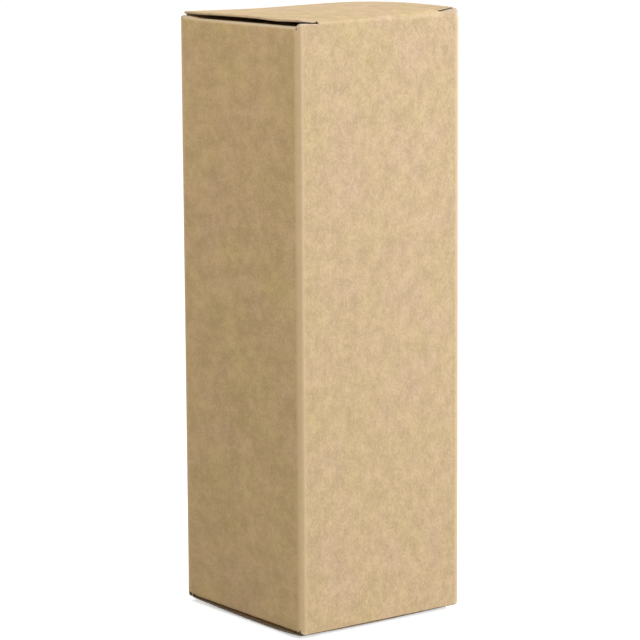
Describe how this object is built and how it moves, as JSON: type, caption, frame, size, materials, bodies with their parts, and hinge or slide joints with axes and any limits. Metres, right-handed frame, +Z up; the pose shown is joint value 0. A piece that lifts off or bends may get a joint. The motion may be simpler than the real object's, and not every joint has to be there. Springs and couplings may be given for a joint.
{
  "type": "tuck end cardboard box",
  "caption": "Tall square carton folded from kraft board, closed at top and bottom by hinged tuck lids over dust flaps.",
  "frame": {"origin": "middle of the base, on the surface that the closed box stands on", "axes": "+Z up along the box's length, -Y out of the front panel that carries the top lid, +X to its right"},
  "size_m": [0.04, 0.04, 0.1222],
  "materials": {
    "kraft_board": "matte"
  },
  "bodies": {
    "carton": {"carton": "kraft_board"},
    "top_lid": {"top_lid": "kraft_board"},
    "bottom_lid": {"bottom_lid": "kraft_board"}
  },
  "joints": [
    {"name": "top_lid_hinge", "type": "hinge", "parent": "carton", "child": "top_lid", "pos_m": [0, -0.01971, 0.12101], "axis": [1, 0, 0], "range_deg": [0, 180]},
    {"name": "bottom_lid_hinge", "type": "hinge", "parent": "carton", "child": "bottom_lid", "pos_m": [0, 0.01971, 0.00029], "axis": [1, 0, 0], "range_deg": [0, 180]}
  ]
}
